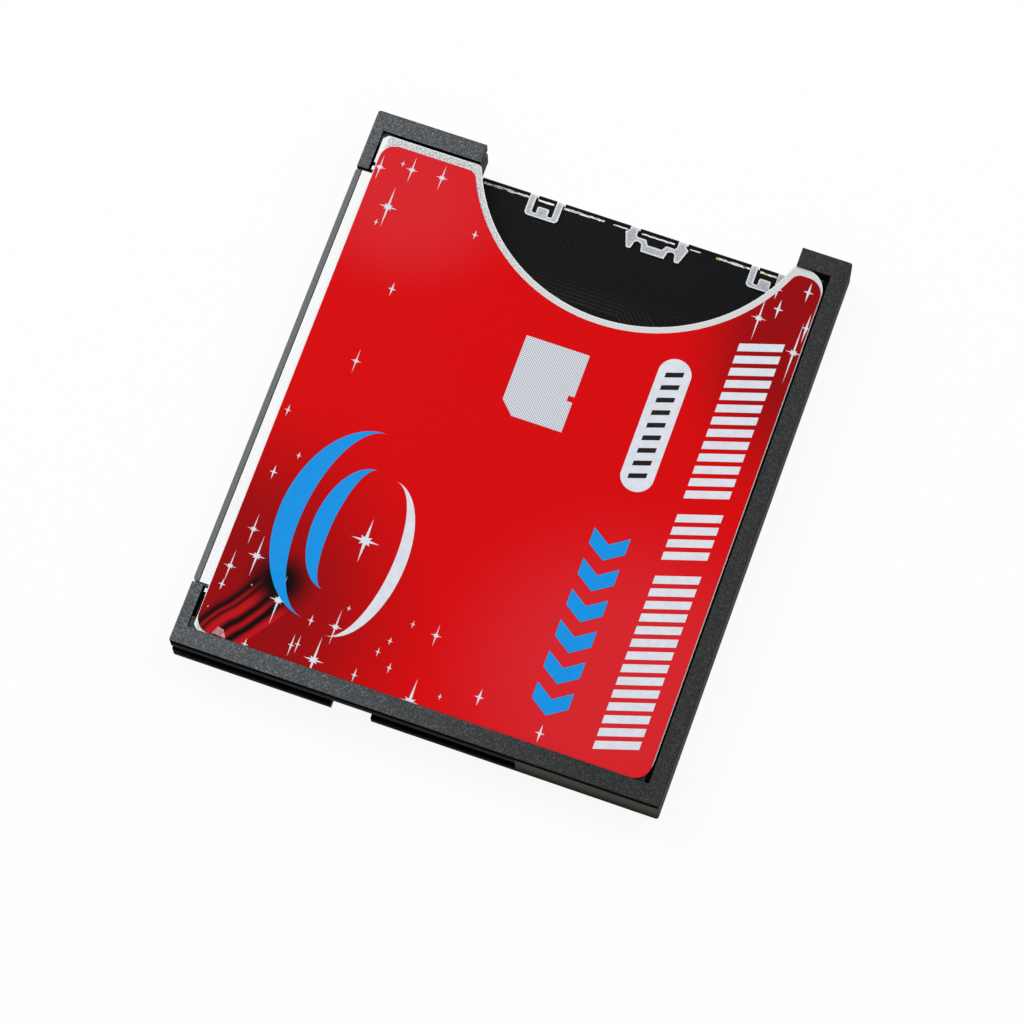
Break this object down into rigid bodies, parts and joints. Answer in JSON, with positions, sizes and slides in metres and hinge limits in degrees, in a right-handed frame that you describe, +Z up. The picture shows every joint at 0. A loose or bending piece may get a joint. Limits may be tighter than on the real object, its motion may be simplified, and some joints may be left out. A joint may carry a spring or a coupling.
{
  "type": "memory card adapter",
  "caption": "Thin flat adapter with a slot for a small memory card at its side and a pin receptacle at its front, in a black frame with steel covers and a red label.",
  "frame": {"origin": "middle of the underside of the bounding box", "axes": "+Y towards the card mouth, -X towards the pin receptacle, +Z up out of the label"},
  "size_m": [0.0364, 0.0428, 0.0033],
  "materials": {
    "frame_plastic": "fine satin grain",
    "connector_plastic": "satin",
    "cover_steel": "fine matt grain",
    "label_foil": "glossy print",
    "black_film": "matt",
    "board_laminate": "satin lacquer",
    "contact_metal": "gold plated",
    "spring_metal": "gold plated",
    "chip_resin": "matt",
    "crystal_can": "nickel plated",
    "chip_ceramic": "matt",
    "resistor_ceramic": "matt"
  },
  "bodies": {
    "root": {"frame": "frame_plastic", "top_cover": "cover_steel", "bottom_cover": "cover_steel", "label": "label_foil", "insulating_film": "black_film", "circuit_board": "board_laminate", "connector_housing": "connector_plastic", "connector_contacts_upper": "contact_metal", "connector_contacts_lower": "contact_metal", "card_contact_block": "connector_plastic", "card_spring_1": "spring_metal", "card_spring_2": "spring_metal", "card_spring_3": "spring_metal", "card_spring_4": "spring_metal", "card_spring_5": "spring_metal", "card_spring_6": "spring_metal", "card_spring_7": "spring_metal", "card_spring_8": "spring_metal", "card_spring_9": "spring_metal", "card_detect_spring": "spring_metal", "write_protect_spring": "spring_metal", "controller_chip": "chip_resin", "voltage_regulator": "chip_resin", "crystal": "crystal_can", "capacitors": "chip_ceramic", "resistors": "resistor_ceramic"}
  },
  "joints": []
}
